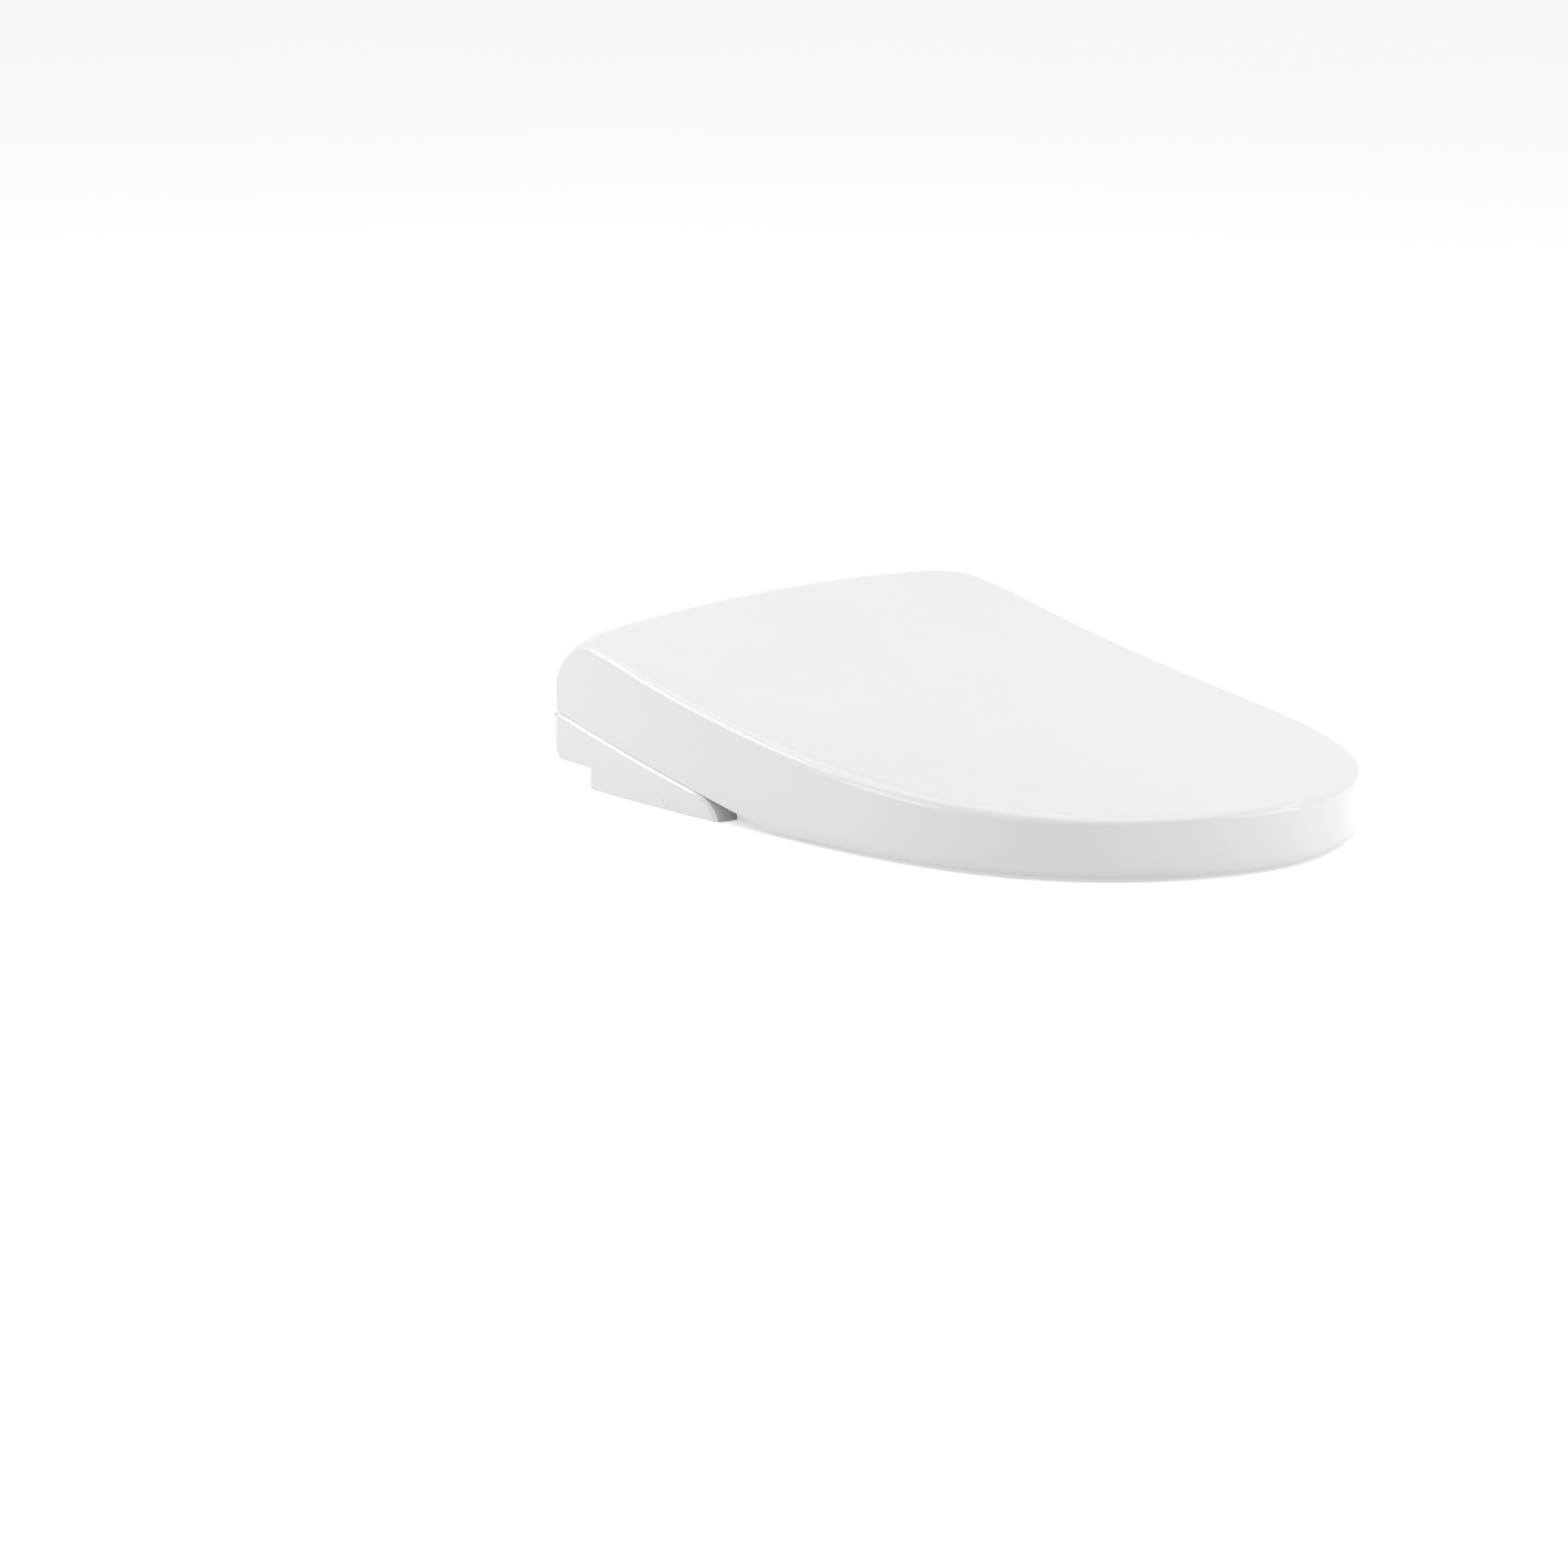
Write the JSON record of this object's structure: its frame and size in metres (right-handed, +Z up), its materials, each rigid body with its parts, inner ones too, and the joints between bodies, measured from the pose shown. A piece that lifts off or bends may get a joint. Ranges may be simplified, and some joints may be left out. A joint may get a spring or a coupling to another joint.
{
  "type": "electric bidet seat",
  "caption": "Electric bidet seat with a sloping lid over a heated ring seat, a retracting wash nozzle, a warm-air outlet and slim side arms behind the seat.",
  "frame": {"origin": "midway between the two fixing-bolt holes, on the top of the bowl rim that the unit stands on", "axes": "+X to the seated user's left, +Y to the rear where the hinges are, +Z up"},
  "size_m": [0.383, 0.528, 0.1136],
  "materials": {
    "shell_white": "gloss moulded polypropylene",
    "case_white": "satin moulded plastic",
    "nozzle_white": "gloss moulded plastic",
    "button_grey": "satin moulded plastic",
    "pad_grey": "soft moulded rubber",
    "inner_grey": "moulded plastic",
    "inner_dark": "moulded plastic",
    "window_dark": "dark transparent plastic",
    "lens_white": "clear light guide",
    "steel": "brushed stainless steel",
    "brass": "machined brass",
    "heater_foil": "laminated heating foil",
    "board_green": "coated circuit board",
    "carbon": "pressed carbon granules",
    "hose_grey": "smooth rubber hose"
  },
  "bodies": {
    "unit": {"lid_damper": "inner_dark", "hinge_pod_left": "shell_white", "hinge_pod_right": "shell_white", "seat_damper": "inner_dark", "mounting_plate": "case_white", "bolt_bushes": "inner_dark", "base_pads": "pad_grey", "lower_case": "case_white", "upper_case": "shell_white", "front_fascia": "shell_white", "rear_cover": "case_white", "arm_left": "shell_white", "arm_right": "shell_white", "arm_plugs": "shell_white", "receiver_window": "window_dark", "lamp_lenses": "lens_white", "case_screws": "steel", "button_board": "board_green", "nozzle_frame": "inner_grey", "nozzle_motor": "inner_dark", "heat_exchanger": "case_white", "valve_unit": "inner_grey", "booster_pump": "inner_dark", "water_inlet": "brass", "inlet_strainer": "steel", "inlet_hose": "hose_grey", "dryer_housing": "inner_grey", "dryer_motor": "inner_dark", "dryer_duct": "inner_grey", "dryer_heater": "case_white", "deodoriser_housing": "inner_grey", "control_board": "board_green", "power_board": "board_green", "cord_gland": "inner_dark"},
    "lid": {"lid_shell": "shell_white", "lid_bumpers": "pad_grey", "lid_shafts": "steel"},
    "seat": {"seat_top": "shell_white", "seat_bottom": "shell_white", "seat_heater": "heater_foil", "seat_bumpers": "pad_grey", "seat_horn_left": "shell_white", "seat_horn_right": "shell_white", "seat_shafts": "steel"},
    "nozzle": {"nozzle_wand": "nozzle_white", "nozzle_tip": "nozzle_white", "nozzle_rack": "inner_grey"},
    "pinion": {"nozzle_pinion": "nozzle_white"},
    "air_flap": {"dryer_flap": "nozzle_white"},
    "dryer_wheel": {"dryer_impeller": "inner_dark"},
    "deodoriser_wheel": {"deodoriser_impeller": "inner_dark"},
    "filter": {"filter_drawer": "case_white", "filter_carbon": "carbon"},
    "release": {"release_button": "button_grey"},
    "power_key": {"power_button": "button_grey"},
    "wash_key": {"wash_button": "button_grey"},
    "stop_key": {"stop_button": "button_grey"}
  },
  "joints": [
    {"name": "lid_hinge", "type": "hinge", "parent": "unit", "child": "lid", "pos_m": [0, 0.0505, 0.056], "axis": [-1, 0, 0], "range_deg": [0, 96]},
    {"name": "seat_hinge", "type": "hinge", "parent": "unit", "child": "seat", "pos_m": [0, -0.012, 0.048], "axis": [-1, 0, 0], "range_deg": [0, 92]},
    {"name": "nozzle_slide", "type": "slide", "parent": "unit", "child": "nozzle", "axis": [0, -0.9272, -0.3746], "range_m": [0, 0.064]},
    {"name": "pinion_spin", "type": "hinge", "parent": "unit", "child": "pinion", "pos_m": [0, -0.03562, 0.04175], "axis": [-1, 0, 0], "range_deg": [0, 459]},
    {"name": "air_flap_hinge", "type": "hinge", "parent": "unit", "child": "air_flap", "pos_m": [-0.078, -0.0665, 0.0205], "axis": [-1, 0, 0], "range_deg": [0, 70]},
    {"name": "dryer_wheel_spin", "type": "hinge", "parent": "unit", "child": "dryer_wheel", "pos_m": [-0.062, 0.014, 0.03], "axis": [0, 0, 1], "continuous": true},
    {"name": "deodoriser_wheel_spin", "type": "hinge", "parent": "unit", "child": "deodoriser_wheel", "pos_m": [0.113, 0.026, 0.03], "axis": [0, 0, 1], "continuous": true},
    {"name": "filter_slide", "type": "slide", "parent": "unit", "child": "filter", "axis": [1, 0, 0], "range_m": [0, 0.04]},
    {"name": "release_press", "type": "slide", "parent": "unit", "child": "release", "axis": [-1, 0, 0], "range_m": [0, 0.003], "stiffness_N_per_m": 900},
    {"name": "power_press", "type": "slide", "parent": "unit", "child": "power_key", "axis": [0, 0, -1], "range_m": [0, 0.0012], "stiffness_N_per_m": 1200},
    {"name": "wash_press", "type": "slide", "parent": "unit", "child": "wash_key", "axis": [0, 0, -1], "range_m": [0, 0.0012], "stiffness_N_per_m": 1200},
    {"name": "stop_press", "type": "slide", "parent": "unit", "child": "stop_key", "axis": [0, 0, -1], "range_m": [0, 0.0012], "stiffness_N_per_m": 1200}
  ],
  "couplings": [
    {"joint": "seat_hinge", "follows": "lid_hinge", "ratio": 0.95},
    {"joint": "pinion_spin", "follows": "nozzle_slide", "rad_per_m": 125}
  ]
}
